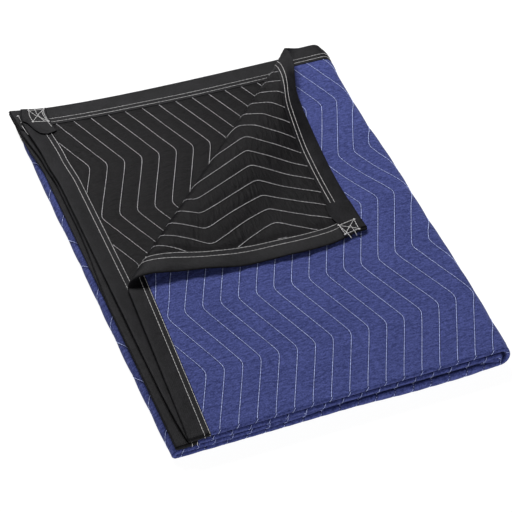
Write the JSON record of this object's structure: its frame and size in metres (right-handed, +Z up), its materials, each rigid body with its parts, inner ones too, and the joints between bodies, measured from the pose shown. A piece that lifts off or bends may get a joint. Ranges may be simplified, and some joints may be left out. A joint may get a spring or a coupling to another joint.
{
  "type": "moving blanket",
  "caption": "Quilted moving blanket, bound on all edges, folded to a flat eight-ply packet with one corner turned back.",
  "frame": {"origin": "middle of the folded packet's footprint, at the surface it rests on", "axes": "+X across the packet from the open bound side edges to the rounded folded side, +Y from the folded front to the bound far edges, +Z up"},
  "size_m": [0.4856, 0.6842, 0.0563],
  "materials": {
    "quilted_cloth": "quilted padded cloth, blue on one face and black on the other",
    "binding_tape": "black woven tape, sewn in double rows"
  },
  "bodies": {
    "root": {"quilted_panel": "quilted_cloth", "side_binding_top": "binding_tape", "side_binding_inside": "binding_tape", "far_binding_outer": "binding_tape", "far_binding_inner": "binding_tape", "corner_tab_flap": "binding_tape", "corner_tab_under": "binding_tape", "corner_tab_inside_outer": "binding_tape", "corner_tab_inside_inner": "binding_tape"}
  },
  "joints": []
}
